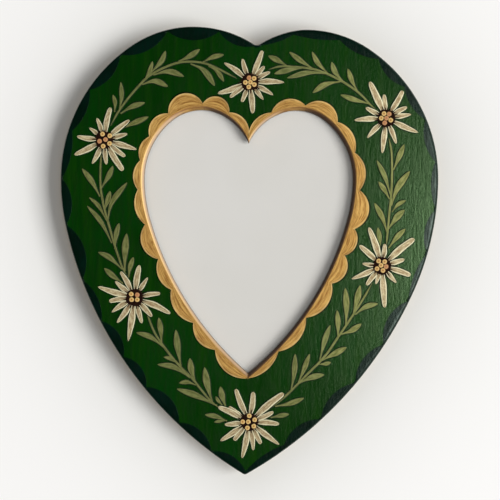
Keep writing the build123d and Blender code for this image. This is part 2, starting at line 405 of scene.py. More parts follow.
def border(name, outline, ways, foot, inward, scallops, edge_round, wall_end, near_rows, material):
    """A painted border: down the edge's wall, over its edge and out to a scalloped curve.

    foot is the outline at the wall's far end. inward is 1 where the wood lies inside the
    outline, else -1."""
    count = len(outline)
    thickness = near_rows[0][1]
    into_wood = -inward * ways
    starts, corners = [], []
    for scallop in scallops:
        cusp = on_board(scallop[:2])
        start = np.argmin(norm(outline - cusp, axis=1))
        starts.append(start)
        depth = (cusp - outline[start]) @ into_wood[start]
        corners.append(outline[start] + into_wood[start] * max(depth, CUSP_DEPTH))
    curve = np.zeros((count, 2))
    number = np.zeros(count)
    for i, scallop in enumerate(scallops):
        peak = on_board(scallop[2:])
        following = (i + 1) % len(scallops)
        span = (starts[following] - starts[i]) % count
        index = (starts[i] + np.arange(span)) % count
        curve[index] = arc_through(corners[i], peak, corners[following], span + 1)[:-1]
        number[index] = i
    length = lengths_along(outline)
    wall_depth = wall_end - board_front - edge_round
    slope = atan2(np.median(norm(outline - foot, axis=1)), wall_depth)
    rows = []
    for share in np.linspace(0, 1, WALL_ROWS)[:-1]:
        y = wall_end - wall_depth * share
        deep = wall_depth * (1 - share) / WALL_STEP
        rows.append((foot + (outline - foot) * share, y, slope, -1 - deep, thickness))
    for angle in np.linspace(slope, pi / 2, EDGE_ANGLES):
        run = edge_round * (1 - cos(angle))
        y = board_front + edge_round * (1 - sin(angle))
        across = -1 + angle / (pi / 2)
        rows.append((outline + into_wood * run, y, angle, across, thickness))
    edge = rows[-1][0]
    span = curve - edge
    width = norm(span, axis=1)[:, None]
    places = [(edge + span * share, share, thickness) for share in FRONT_SHARES]
    for reach, lift in near_rows:
        back = np.minimum(reach, NEAR_SHARE * width * reach / near_rows[0][0])
        places.append((curve - span / width * back, 1 - reach / CURVE_STEP, lift))
    for plan, across, lift in places:
        drop = round_drop(distance_to(outline, plan), edge_round)
        rows.append((plan, board_front + drop, pi / 2, across, lift))
    points = np.zeros((count, len(rows), 3))
    paint = np.zeros((count, len(rows), 3))
    for k, (plan, y, angle, across, lift) in enumerate(rows):
        plan = plan - into_wood * cos(angle) * lift
        points[:, k, 0], points[:, k, 2] = plan.T
        points[:, k, 1] = y - sin(angle) * lift
        paint[:, k, 0], paint[:, k, 1], paint[:, k, 2] = length, across, number
    faces = grid_faces(count, len(rows), closed=True)
    if inward < 0:
        faces = [face[::-1] for face in faces]
    make_piece(name, points.reshape(-1, 3), faces, paint.reshape(-1, 3), material)


# Paint on the board's front

class Paint:
    """Dabs of paint, gathered into one piece."""

    def __init__(self):
        self.points, self.faces, self.paint, self.number = [], [], [], 0

    def finish(self, name, material):
        make_piece(name, self.points, self.faces, self.paint, material)


class Strokes(Paint):
    ACROSS = (-1.0, -0.86, -0.62, -0.25, 0.25, 0.62, 0.86, 1.0)
    FULL_SHARE = 0.35  # of the greatest width, from which the relief is full

    def add(self, spine, widths, level, relief):
        """One stroke along a line of places, with its width at each.

        level is its edge's height over the wood, relief what its rims and middle stand above."""
        ridge, dip = relief
        along = np.gradient(spine, axis=0)
        along /= norm(along, axis=1)[:, None] + 1e-9
        side = np.stack((-along[:, 1], along[:, 0]), 1)
        heights = [0, ridge, (ridge + dip) / 2, dip, dip, (ridge + dip) / 2, ridge, 0]
        self.faces += grid_faces(len(spine), len(self.ACROSS), len(self.points))
        reach = lengths_along(spine)
        for i, place in enumerate(spine):
            fullness = min(1, widths[i] / (self.FULL_SHARE * max(widths)))
            for across, height in zip(self.ACROSS, heights):
                spot = place + side[i] * across * widths[i] / 2
                y = board_front - level - height * fullness
                self.points.append((spot[0], y, spot[1]))
                self.paint.append((reach[i], across, self.number))
        self.number += 1


class Mounds(Paint):
    RINGS = (1.0, 0.93, 0.8, 0.6, 0.35)
    SPOKES = 28
    WAVES = 3  # in each dab's uneven edge

    def add(self, centre, radius, level, height, rng, unevenness):
        start = len(self.points)
        phase = rng.uniform(0, 2 * pi, self.WAVES)
        for ring in self.RINGS:
            for i in range(self.SPOKES):
                angle = 2 * pi * i / self.SPOKES
                wave = sum(sin((k + 3) * angle + phase[k]) for k in range(self.WAVES))
                reach = radius * ring * (1 + unevenness * wave / self.WAVES * ring)
                x, z = centre[0] + reach * cos(angle), centre[1] + reach * sin(angle)
                self.points.append((x, board_front - level - height * sqrt(1 - ring**2), z))
                self.paint.append((angle, ring, self.number))
        last = len(self.points)
        self.points.append((centre[0], board_front - level - height, centre[1]))
        self.paint.append((0, 0, self.number))
        for i in range(self.SPOKES):
            j = (i + 1) % self.SPOKES
            for a in range(start, last - self.SPOKES, self.SPOKES):
                b = a + self.SPOKES
                self.faces.append((a + i, a + j, b + j, b + i))
            self.faces.append((b + i, b + j, last))
        self.number += 1


def ends_first(count):
    """Shares from 0 to 1, closer together near both."""
    return 0.5 - 0.5 * np.cos(np.linspace(0, pi, count))


def curve_through(places, count):
    """A smooth line through places, with more points near its ends."""
    places = np.asarray(places, float)
    if len(places) == 2:
        t = ends_first(count)[:, None]
        return places[0] * (1 - t) + places[1] * t
    reach = lengths_along(places)
    reach /= reach[-1]
    before, beyond = 2 * places[0] - places[1], 2 * places[-1] - places[-2]
    padded = np.concatenate(((before,), places, (beyond,)))
    line = []
    for t in ends_first(count):
        i = min(int(np.searchsorted(reach, t, side="right")) - 1, len(places) - 2)
        s = (t - reach[i]) / (reach[i + 1] - reach[i])
        a, b, c, d = padded[i : i + 4]
        square, cube = 2 * a - 5 * b + 4 * c - d, 3 * b - a - 3 * c + d
        line.append(0.5 * (2 * b + (c - a) * s + square * s**2 + cube * s**3))
    return np.array(line)


def smooth_step(t):
    t = np.clip(t, 0, 1)
    return t * t * (3 - 2 * t)


def petal_widths(count, width, taper, end):
    """Narrow at first, soon widest, then less by taper and rounded off past end."""
    t = ends_first(count)
    rise = PETAL_FOOT + (1 - PETAL_FOOT) * smooth_step(t / PETAL_RISE)
    start, power = PETAL_FALL
    slimmer = 1 - taper * np.clip((t - start) / (1 - start), 0, 1) ** power
    rounded = np.sqrt(1 - np.clip((t - end) / (1 - end), 0, 1) ** 2)
    return width * rise * slimmer * rounded


def leaf_widths(count, width):
    """A thin stalk that swells, and a blunt point."""
    t = ends_first(count)
    start, span = LEAF_RISE
    rise = LEAF_STALK + (1 - LEAF_STALK) * smooth_step((t - start) / span)
    start, power, root = LEAF_FALL
    fall = (1 - np.clip((t - start) / (1 - start), 0, 1) ** power) ** root
    return width * rise * fall


def stem_widths(count, width):
    """Thickest half way, and pointed at both ends."""
    t = ends_first(count)
    least, growth = STEM_ENDS
    pointed = np.minimum(1, growth * np.minimum(t, 1 - t) + least)
    return width * (STEM_THIN + (1 - STEM_THIN) * np.sin(pi * t)) * pointed


# Flowers: the middle, the petals' tips and the golden dots, each a flat row of pixels
FLOWERS = [
    # Upper left
    ((104.2, 139.9),
     (110.5, 107.5, 96.8, 118.2, 89.3, 127.9, 77, 136.4, 74.4, 154.8, 92.2, 163.8, 106.4, 164.4, 123,
      170.6, 125.2, 156.6, 136.6, 149.5, 127.4, 133.9, 129.5, 120),
     (102.6, 134.1, 109.9, 135.8, 99.6, 141.2, 105.6, 139.6, 109.6, 143.5, 103.2, 146.2)),
    # Top
    ((250, 82),
     (262.4, 50.6, 264.4, 66.2, 270.2, 72, 284.2, 82.4, 273.2, 95, 263.4, 99.8, 252.7, 113.6, 241.8,
      101.9, 229.9, 97.5, 217.8, 93.4, 224.2, 62.8, 242.4, 58.9),
     (249.1, 77.9, 254.1, 78.5, 245.4, 82.5, 250.4, 82.3, 254.3, 84.6, 248.8, 87)),
    # Upper right
    ((386.3, 118.2),
     (369.6, 81.7, 384, 94.4, 402.8, 90.8, 407.1, 107, 411.2, 114.4, 418, 132.6, 396.2, 143.6, 382.2,
      153.2, 367.2, 138, 354.4, 120.2, 365.8, 107.6),
     (384, 113.7, 389.1, 114.1, 381.3, 118.2, 386.4, 118.2, 390.7, 120.2, 384.6, 122.9)),
    # Lower left
    ((134.6, 297.6),
     (139.4, 265, 147.8, 277.4, 160.3, 293.4, 170.4, 313.6, 152, 316.6, 141.8, 323.3, 128.2, 341, 117,
      322.8, 111.7, 312.2, 109.2, 301.2, 98, 286.7, 115.3, 281.2, 120.6, 271.6),
     (131.3, 294.1, 137.3, 294.8, 131.7, 299.6, 137.3, 299.6)),
    # Lower right
    ((381.9, 265.8),
     (368.8, 227.4, 384.8, 243.8, 414.2, 238.6, 404.4, 259.4, 410.6, 275.3, 396.2, 282.8, 384.6, 307.6,
      375.8, 284.2, 366.4, 285.2, 351.6, 279, 362.4, 263.6, 359.4, 245.4),
     (378.6, 261, 384.6, 261.7, 381, 265.3, 386, 266.6, 377, 268.7, 382.9, 270.4)),
    # Bottom
    ((249.2, 421.8),
     (235.7, 388.9, 253.2, 391.9, 283.6, 393.2, 273.4, 411.8, 279.2, 424, 279.2, 444.6, 261, 443.8,
      253.2, 450.4, 242, 458, 233.9, 440.4, 220.4, 440.8, 224.6, 424.6, 218.2, 406.8, 228.8, 406.8),
     (249.3, 415.7, 254.7, 419.7, 242.7, 421.7, 248.3, 421.7, 253.8, 426.1, 247.4, 427.8)),
]

# Sprays of leaves: the stem's places, then for each leaf its start, middle and end and its width
SPRAYS = [
    # Upper left to top
    ((110.5, 126, 117.5, 113, 126.5, 100.3, 137, 87.8, 148.5, 76.3, 162, 68.6, 177, 62.9, 189.5, 61.6,
      203, 62.9, 214.5, 66.9, 226, 72.8, 237, 78.5),
     [(114.5, 112, 115, 103, 113, 94.8, 4.6), (119, 111, 121.5, 97, 120.8, 82, 5.2),
      (120.5, 113.6, 132, 106.5, 145, 102.6, 6.2), (119.5, 129, 136, 122, 148.6, 116.8, 6.2),
      (144, 81, 150, 70, 152.6, 61.3, 4.8), (150, 73.5, 161, 61.5, 165.6, 50.8, 6),
      (142, 84.4, 155, 81, 168, 86.6, 6.6), (153, 74.8, 169, 71.4, 184, 76.4, 6.6),
      (178.5, 61.5, 189, 56.5, 199.8, 49.3, 6.4), (190.5, 63.6, 204, 70.5, 214.8, 86, 7),
      (202.5, 62.4, 213, 57, 223.8, 54.6, 5.8), (208.5, 66, 217, 71, 223.9, 81.6, 5.2)]),
    # Top to upper right
    ((268.5, 69.5, 280, 66.4, 293.5, 66.8, 307, 68, 317.5, 70.3, 328.5, 74.4, 338, 79, 347, 84.3, 356.5,
      91, 363.5, 97.2, 370, 104.4, 376, 109.5),
     [(287, 66, 277, 60, 268.2, 55.8, 6.4), (303.5, 67.6, 286, 70.4, 274.2, 73.8, 6.6),
      (313.5, 69.2, 301, 61, 289.3, 52, 6), (326, 73.6, 308, 72.6, 287, 78, 6.2),
      (328.5, 74.2, 317.5, 62.5, 312.1, 51.6, 5.6), (342.5, 81, 335, 72, 331.6, 62, 6.4),
      (340.5, 81.4, 325, 84.5, 312.6, 92.8, 6.8), (357, 90.5, 351.5, 80, 347.8, 68.6, 5.8),
      (370, 104, 354, 99.5, 340.4, 94.8, 6)]),
    # Upper left to lower left
    ((101.3, 152.5, 100.3, 171, 100.6, 187, 101.8, 196.5, 104.5, 209.5, 108.5, 224, 113, 240, 117.5, 254,
      121.5, 265.5, 127, 277),
     [(100, 196.5, 91.5, 181, 82, 168.6, 6.4), (101.3, 188, 108.5, 176, 113, 165.8, 6.2),
      (107.4, 221.5, 112, 202, 127.2, 182.4, 6.2), (104, 211, 107.5, 201, 110.2, 191, 6.2),
      (106.6, 220.5, 98.5, 206, 89.2, 197.3, 4.4), (111.8, 243, 101, 222, 87.2, 205.8, 5.4),
      (114.8, 249, 116, 235, 119, 223, 6), (124.6, 271, 125, 250, 126.6, 233.4, 8),
      (122, 269, 109.5, 257.5, 98.2, 252, 6.2), (128.5, 277.5, 130, 267, 133.4, 257.2, 5.8),
      (123, 283.5, 113, 276, 104.2, 268.2, 6.4)]),
    # Upper right to lower right
    ((388.8, 138, 391.4, 151, 392, 165, 391.8, 181, 391, 197, 389.3, 213, 387.6, 232, 386.2, 246),
     [(393.4, 170, 398.5, 158, 404.2, 144.4, 6.4), (390.5, 195, 385, 177, 376.8, 160.2, 5.6),
      (391.2, 205.5, 397.5, 188, 409.8, 171, 7.6), (389.4, 199, 384.5, 190, 378.6, 181.6, 5.6),
      (387, 232, 382.5, 218, 374.4, 202.8, 6.2), (392, 212, 398, 204.5, 405.8, 200.4, 4.6),
      (388.2, 229, 397, 217, 404.6, 209.8, 7.4), (380.2, 249, 379.5, 238, 377.8, 227.4, 5.6),
      (388.5, 248, 397, 237, 405.4, 228.8, 6.2)]),
    # Lower left to bottom
    ((146, 311, 154, 331.5, 163, 345.5, 172, 357.2, 182, 368.6, 192.4, 378.8, 201.5, 390.2, 211.5, 401.6,
      220, 408.5),
     [(161.6, 343, 160.5, 330, 158.7, 317.6, 6.4), (163.5, 347, 150.5, 337, 136.3, 332.4, 6.2),
      (180.8, 366, 177.6, 348, 175.8, 329.8, 7.6), (180.6, 365.4, 171.5, 358.8, 163.7, 357, 5),
      (190, 377.6, 174, 367, 157.4, 364.4, 6.6), (195.4, 382.6, 191.2, 370, 189.8, 358.2, 7.4),
      (195.8, 385, 187.5, 382, 179, 383, 5), (212, 401.8, 207, 384, 204.4, 367.2, 8.2),
      (217, 405.6, 196.5, 395.6, 176.8, 388.8, 7.4), (226, 408, 222, 396, 220.4, 386.6, 7),
      (223, 406, 218.5, 401, 215.6, 396.4, 3.8), (227, 421, 216, 416.4, 204.9, 414.6, 5.6),
      (227, 420.4, 220, 421, 214.2, 422.2, 3.8)]),
    # Lower right to bottom
    ((372.2, 283, 364.4, 296.8, 355.2, 311.4, 346.6, 324.6, 337.4, 338, 328.2, 351.8, 318.2, 363.4,
      306.8, 374.6, 296.5, 385.2, 286.4, 395.2, 277.5, 402.6, 268, 409.8),
     [(353, 315.4, 357, 300, 360.2, 285.2, 7.2), (345.8, 326.4, 346.4, 306, 345.2, 287.8, 7.2),
      (355, 314.6, 365.5, 306.8, 378.2, 303.6, 6.2), (338, 338.5, 338, 324, 337, 310.2, 6.2),
      (341.2, 334.4, 352, 330.2, 361.4, 323.8, 6.4), (319.8, 360, 324.5, 341, 330.2, 325, 6.4),
      (321.6, 360.4, 335, 353.4, 346.6, 347.2, 7), (318.8, 364.2, 325, 363.8, 331, 362.4, 4.6),
      (291.2, 390.2, 294.2, 372, 295.2, 353.8, 6.4), (298.2, 383, 303.6, 370, 309.7, 353.8, 5.8),
      (298.6, 383.4, 311, 377.4, 324.4, 374.6, 6.8), (275, 406.4, 290, 403.4, 304, 398, 6),
      (270.5, 417.6, 280.5, 415.6, 289, 414.2, 5.4)]),
]

SEED = 7
PETAL_START = 6.0 * PIXEL_SIZE
PETAL_WIDTH = 1.4  # of a petal of no length
PETAL_WIDTH_SHARE = 0.106  # of its length, on top of that
PETAL_POINTS = 15
PETAL_FOOT = 0.5  # of its width, at the flower's middle
PETAL_RISE = 0.42  # of its length, over which it gets wide
PETAL_FALL = (0.4, 1.3)  # where it starts to slim, and the power
PETAL_BEND = 0.035  # at most, of its length
PETAL_WIDTHS = (0.93, 1.07)
PETAL_TAPERS = (0.25, 0.75)
PETAL_ENDS = (0.78, 0.93)  # where its end is rounded from
LEAF_WIDTH_SHARE = 0.88
LEAF_POINTS = 15
LEAF_STALK = 0.24  # of its width
LEAF_RISE = (0.1, 0.55)  # where it starts to swell, and over what length
LEAF_FALL = (0.58, 1.9, 0.75)  # where it starts to narrow, and its powers
STEM_WIDTH = 2.1 * PIXEL_SIZE
STEM_POINTS = 60
STEM_THIN = 0.75  # of its width, where it starts
STEM_ENDS = (0.15, 12)  # width of its ends, and how fast it grows
GLAZE_WIDTH = 1.9 * PIXEL_SIZE  # what the dark glaze stands out round a stroke, both sides
GLAZE_ENDS = (0.3, 0.25)  # how it thins at a stroke's ends
CLUSTER_RADIUS = 8.8 * PIXEL_SIZE
CLUSTER_UNEVENNESS = 0.09
FRINGE_STROKES = 22
FRINGE_START_SHARE = 0.8  # of the cluster's radius
FRINGE_REACH = 12.0 * PIXEL_SIZE
FRINGE_WIDTH = 1.9 * PIXEL_SIZE
FRINGE_POINTS = 5
FRINGE_TURN = 5  # degrees, either way
FRINGE_REACHES = (0.8, 1.08)
FRINGE_END = 0.15  # of its width
DOT_RADIUS = 2.45 * PIXEL_SIZE
DOT_UNEVENNESS = 0.05

# Heights over the wood. A lift sets a petal, or one of three leaves, above the one before.
GLAZE_LEVEL = 0.02
LEAF_LEVEL = 0.03
LEAF_LIFT = 0.004
PETAL_GLAZE_LEVEL = 0.10
PETAL_LEVEL = 0.12
PETAL_LIFT = 0.003
FRINGE_LEVEL = 0.235
CLUSTER_LEVEL = 0.245
CLUSTER_HEIGHT = 0.04
DOT_LEVEL = 0.265
DOT_HEIGHT = 0.12

# What a stroke's rims and its middle stand above its edge
STEM_RELIEF = (0.03, 0.035)
LEAF_RELIEF = (0.045, 0.03)
PETAL_RELIEF = (0.06, 0.03)
FRINGE_RELIEF = (0.02, 0.02)
GLAZE_RELIEF = (0.01, 0.01)


def stroke_with_glaze(strokes, glaze, spine, widths, level, glaze_level, relief):
    strokes.add(spine, widths, level, relief)
    share, least = GLAZE_ENDS
    wider = GLAZE_WIDTH * np.minimum(1, widths / (share * max(widths)) + least)
    glaze.add(spine, widths + wider, glaze_level, GLAZE_RELIEF)


def paint_sprays(glaze_material):
    leaves, glaze = Strokes(), Strokes()
    for stem, sprigs in SPRAYS:
        line = curve_through(all_on_board(stem), STEM_POINTS)
        widths = stem_widths(STEM_POINTS, STEM_WIDTH)
        stroke_with_glaze(leaves, glaze, line, widths, LEAF_LEVEL, GLAZE_LEVEL, STEM_RELIEF)
        for i, (*leaf, width) in enumerate(sprigs):
            line = curve_through(all_on_board(leaf), LEAF_POINTS)
            widths = leaf_widths(LEAF_POINTS, width * LEAF_WIDTH_SHARE * PIXEL_SIZE)
            level = LEAF_LEVEL + LEAF_LIFT * (i % 3)
            stroke_with_glaze(leaves, glaze, line, widths, level, GLAZE_LEVEL, LEAF_RELIEF)
    glaze.finish("leaf_glaze", glaze_material)
    leaves.finish("leaf_sprays", leaf_paint())


def paint_flowers(glaze_material):
    rng = np.random.default_rng(SEED)
    petals, glaze, fringe = Strokes(), Strokes(), Strokes()
    clusters, dots = Mounds(), Mounds()
    for middle, tips, golden in FLOWERS:
        centre = on_board(middle)
        tips = all_on_board(tips)
        for rank, index in enumerate(rng.permutation(len(tips))):
            tip = tips[index]
            length = norm(tip - centre)
            way = (tip - centre) / length
            side = np.array((-way[1], way[0]))
            bend = side * length * rng.uniform(-PETAL_BEND, PETAL_BEND)
            start = centre + way * PETAL_START
            line = curve_through([start, (start + tip) / 2 + bend, tip], PETAL_POINTS)
            width = (PETAL_WIDTH + PETAL_WIDTH_SHARE * length) * rng.uniform(*PETAL_WIDTHS)
            taper, end = rng.uniform(*PETAL_TAPERS), rng.uniform(*PETAL_ENDS)
            widths = petal_widths(PETAL_POINTS, width, taper, end)
            level = PETAL_LEVEL + PETAL_LIFT * rank
            stroke_with_glaze(petals, glaze, line, widths, level, PETAL_GLAZE_LEVEL, PETAL_RELIEF)
        clusters.add(centre, CLUSTER_RADIUS, CLUSTER_LEVEL, CLUSTER_HEIGHT, rng, CLUSTER_UNEVENNESS)
        for angle in np.linspace(0, 360, FRINGE_STROKES, endpoint=False):
            way = bearing(angle + rng.uniform(-FRINGE_TURN, FRINGE_TURN))
            end = centre + way * FRINGE_REACH * rng.uniform(*FRINGE_REACHES)
            start = centre + way * CLUSTER_RADIUS * FRINGE_START_SHARE
            widths = FRINGE_WIDTH * np.linspace(1, FRINGE_END, FRINGE_POINTS)
            fringe.add(curve_through([start, end], FRINGE_POINTS), widths, FRINGE_LEVEL, FRINGE_RELIEF)
        for spot in all_on_board(golden):
            dots.add(spot, DOT_RADIUS, DOT_LEVEL, DOT_HEIGHT, rng, DOT_UNEVENNESS)
    glaze.finish("petal_glaze", glaze_material)
    petals.finish("petals", petal_paint())
    dark = cluster_paint()
    clusters.finish("flower_middles", dark)
    fringe.finish("flower_fringes", dark)
    dots.finish("golden_dots", dot_paint())


# Materials

# Painted sheen: some paints are made lighter towards the right.
SHEEN_FADE_REACH = 75.0  # from the middle to the right, where a fade ends
GREEN_GLOSS = (0.66, 1.0, 0.52, 1.0)  # what the paint does to the gloss
DARK_GLOSS = (0.8, 1.0, 0.86, 1.0)
GREEN_GLOSS_LEVEL = 0.8
DARK_GLOSS_LEVEL = 0.55
BRUSH_BUMP = 0.038
BARE_BACK = 0.4  # from the back, where the wood is left unpainted


def linear(colour):
    """A colour of the eye's, 0 to 255, as the shader needs it. A node's colour stays as it is."""
    if not isinstance(colour, tuple):
        return colour
    shares = [value / 255 for value in colour]
    return (*[s / 12.92 if s <= 0.04045 else ((s + 0.055) / 1.055) ** 2.4 for s in shares], 1)


class Nodes:
    """A node tree whose nodes are added one call at a time."""

    def __init__(self, owner):
        owner.use_nodes = True
        self.tree = owner.node_tree

    def node(self, kind, inputs=None, **settings):
        made = self.tree.nodes.new("ShaderNode" + kind)
        for key, value in settings.items():
            setattr(made, key, value)
        for key, value in (inputs or {}).items():
            self.set(made.inputs[key], value)
        return made

    def set(self, socket, value):
        if isinstance(value, bpy.types.NodeSocket):
            self.tree.links.new(value, socket)
        elif value is not None:
            socket.default_value = value

    def parts(self, vector):
        return self.node("SeparateXYZ", {"Vector": vector}).outputs[:]

    def math(self, operation, *values):
        return self.node("Math", dict(enumerate(values)), operation=operation).outputs[0]

    def times(self, a, b):
        return self.math("MULTIPLY", a, b)

    def mirrored(self, rays):
        """1 for rays that gloss or glass sends out."""
        return self.math("MAXIMUM", rays["Is Glossy Ray"], rays["Is Transmission Ray"])

    def spread(self, value, low, high, new_low=0.0, new_high=1.0, ends="SMOOTHSTEP"):
        """Stretches the range low to high to a new one."""
        limits = {"From Min": low, "From Max": high, "To Min": new_low, "To Max": new_high}
        return self.node("MapRange", {"Value": value, **limits}, interpolation_type=ends).outputs[0]


class Look(Nodes):
    """A material whose colours are laid one over another, as the eye reads them, 0 to 255."""

    def __init__(self, name, colour, roughness=0.5, **sockets):
        self.material = bpy.data.materials.new(name)
        super().__init__(self.material)
        self.colour = colour
        self.shader = self.tree.nodes["Principled BSDF"]
        for socket, value in dict(Roughness=roughness, **sockets).items():
            self.set(self.shader.inputs[socket.replace("_", " ")], value)

    def place(self, across=1.0, along=None):
        """Coordinates in millimetres, times across in X and Y and times along in Z."""
        scale = [s / MM for s in (across, across, along or across)]
        vector = self.node("TexCoord").outputs["Object"]
        return self.node("Mapping", {"Vector": vector, "Scale": scale}).outputs[0]

    def stroke(self):
        """Along, across and number of a brush stroke."""
        return self.parts(self.node("Attribute", attribute_name="stroke").outputs["Vector"])

    def noise(self, vector, detail=3.0, roughness=0.55, distortion=0.0):
        values = {"Detail": detail, "Roughness": roughness, "Distortion": distortion}
        return self.node("TexNoise", {"Vector": vector, "Scale": 1.0, **values}).outputs[0]

    def cloud(self, across, along=None, *detail):
        """Noise in space, finer by across in X and Y and by along in Z."""
        return self.noise(self.place(across, along), *detail)

    def hairs(self, stroke, scales, *detail):
        """Noise over a brush stroke, with a scale for each of the stroke's three parts."""
        parts = [self.times(part, scale) for part, scale in zip(stroke, scales)]
        return self.noise(self.node("CombineXYZ", dict(enumerate(parts))).outputs[0], *detail)

    def chance(self, number):
        return self.node("TexWhiteNoise", {"W": number}, noise_dimensions="1D").outputs[0]

    def mix(self, share, *colours, blend="MIX"):
        made = self.node("Mix", {0: share}, data_type="RGBA", blend_type=blend)
        for socket, colour in zip(made.inputs[6:8], colours):
            self.set(socket, linear(colour))
        return made.outputs[2]

    def cover(self, share, colour):
        """Lays a share of another colour over the look's own."""
        self.colour = self.mix(share, self.colour, colour)

    def blend(self, value, colour, low=0.35, high=0.65, most=1.0):
        """Covers the look with more of a colour as a value goes from low to high."""
        self.cover(self.spread(value, low, high, 0.0, most), colour)

    def fade(self, left, right):
        """Painted sheen: the colour times left in the left half, rising from there to times right."""
        factor = self.spread(self.parts(self.place())[0], 0.0, SHEEN_FADE_REACH, left, right)
        self.colour = self.mix(1.0, self.colour, factor, blend="MULTIPLY")

    def finish(self, relief=None, depth=0.0, strength=1.0, roughness=None):
        """The material, with a relief that is depth deep."""
        if relief is not None:
            values = {"Height": relief, "Distance": depth * MM, "Strength": strength}
            relief = self.node("Bump", values).outputs[0]
        values = {"Base Color": linear(self.colour), "Roughness": roughness, "Normal": relief}
        for socket, value in values.items():
            self.set(self.shader.inputs[socket], value)
        return self.material


def green_paint():
    """Dark green paint brushed up and down over pale planed wood, which is bare on the back."""
    look = Look(
        "green_painted_wood", (214, 182, 138),
        Specular_Tint=GREEN_GLOSS, Specular_IOR_Level=GREEN_GLOSS_LEVEL,
    )
    look.blend(look.cloud(0.35, 0.018, 5.0, 0.6, 0.6), (188, 148, 100))
    look.blend(look.cloud(3.2, 0.09), (150, 108, 66), 0.55, 0.75, 0.5)
    wood = look.colour
    fine = look.cloud(0.85, 0.14, 2.0, 0.6, 0.15)
    look.colour = (1, 45, 0)
    look.blend(look.cloud(0.03, 0.02, 2.0), (1, 51, 4))
    look.blend(look.cloud(0.28, 0.02, 4.0, 0.6, 0.15), (11, 54, 1), 0.42, 0.7)
    look.blend(fine, (1, 36, 1), 0.35, 0.72, 0.55)
    bare = look.math("GREATER_THAN", look.parts(look.place())[1], board_back - BARE_BACK)
    look.cover(bare, wood)
    roughness = look.math("ADD", look.spread(fine, 0.3, 0.7, 0.18, 0.25), look.times(bare, 0.4))
    relief = look.math("ADD", fine, look.times(look.cloud(0.9, 0.4, 1.0, 0.5), 0.6))
    return look.finish(relief, BRUSH_BUMP, roughness=roughness)


def dark_paint():
    look = Look(
        "dark_rim_paint", (0, 18, 8), Specular_Tint=DARK_GLOSS, Specular_IOR_Level=DARK_GLOSS_LEVEL
    )
    fine = look.cloud(0.75, 0.15, 2.0, 0.6, 0.15)
    look.blend(look.cloud(0.08), (1, 25, 17))
    look.blend(fine, (0, 13, 8), 0.4, 0.7, 0.5)
    return look.finish(fine, BRUSH_BUMP, roughness=look.spread(fine, 0.3, 0.7, 0.17, 0.24))


def ochre_paint():
    """Ochre brushed along the border, with a pale line and a dark one where it ends.

    Light and shade are painted on the opening's wall: lit facing right, shaded facing left."""
    look = Look("ochre_paint", (210, 178, 146), Specular_IOR_Level=0.25)
    stroke = look.stroke()
    across = stroke[1]
    # Painted shade: the wall is darker grey-brown towards its foot at the pane.
    look.blend(across, (128, 119, 110), -1.2, -1.42)
    painted_lit_wall = look.colour
    streaks = look.hairs(stroke, (0.08, 6.5, 1.0), 5.0, 0.7)
    lines = look.hairs(stroke, (0.16, 11.0, 1.0))
    look.colour = (140, 96, 37)
    look.blend(streaks, (214, 171, 95), 0.36, 0.62)
    look.blend(look.cloud(0.6), (188, 136, 70), 0.42, 0.7, 0.45)
    look.blend(lines, (128, 80, 24), 0.54, 0.66, 0.75)
    # Painted sheen: lighter towards the right.
    look.fade(0.91, 1.16)
    wall = look.spread(across, -1.0, -1.03)
    facing = look.parts(look.node("NewGeometry").outputs["Normal"])[0]
    # Painted light: the wall takes the pale lit colour where it faces right, towards the key lamp.
    look.cover(look.times(wall, look.spread(facing, 0.2, 0.6, 0.0, 0.85)), painted_lit_wall)
    # Painted shade: dark brown where the wall faces left, away from the key lamp.
    look.cover(look.times(wall, look.spread(facing, 0.1, -0.35, 0.0, 0.95)), (62, 32, 8))
    arris = look.times(look.spread(across, -0.8, -0.98), look.spread(across, -1.2, -1.12))
    look.cover(look.times(arris, 0.5), (140, 86, 30))
    # Painted highlight: a pale cream line on the opening's edge where it faces right.
    look.cover(look.times(arris, look.spread(facing, 0.5, 0.97)), (246, 208, 140))
    # Pale line along the curve: a painted outline, partly also a painted highlight on the paint's ridge.
    worn_ridge_highlight = look.spread(lines, 0.25, 0.6, 0.7, 0.28)
    look.cover(look.times(look.spread(across, 0.955, 0.97), worn_ridge_highlight), (226, 198, 134))
    look.blend(across, (8, 24, 2), 0.995, 1.002)
    relief = look.math("ADD", streaks, look.times(lines, 0.6))
    return look.finish(relief, 0.12, 0.6, look.spread(streaks, 0.3, 0.7, 0.42, 0.58))


def petal_paint():
    """Cream strokes, pale and thick at both sides and thin over brown in the middle."""
    look = Look("petal_paint", (148, 124, 86), 0.55)
    stroke = look.stroke()
    hairs = look.hairs(stroke, (0.3, 2.4, 3.7), 4.0, 0.65)
    look.blend(hairs, (208, 194, 152))
    look.blend(look.cloud(1.1), (146, 112, 84), 0.46, 0.7, 0.7)
    look.cover(look.spread(stroke[0], 1.6, 5.5, 0.55, 0.0), (96, 78, 44))
    look.blend(look.math("ABSOLUTE", stroke[1]), (230, 224, 186), 0.55, 0.82, 0.95)
    # Painted sheen: lighter towards the right.
    look.fade(0.92, 1.16)
    return look.finish(hairs, 0.08, 0.6)


def leaf_paint():
    look = Look("leaf_paint", (86, 90, 36))
    stroke = look.stroke()
    hairs = look.hairs(stroke, (0.3, 1.8, 3.1), 4.0, 0.6)
    look.blend(hairs, (132, 133, 77))
    look.cover(look.times(look.chance(stroke[2]), 0.35), (94, 108, 62))
    look.blend(look.math("ABSOLUTE", stroke[1]), (138, 138, 88), 0.55, 0.95, 0.4)
    # Painted sheen: lighter towards the right.
    look.fade(0.9, 1.45)
    return look.finish(hairs, 0.06, 0.5)


def glaze_paint():
    look = Look("dark_glaze", (3, 30, 3))
    look.blend(look.cloud(0.7), (12, 34, 5))
    return look.finish()


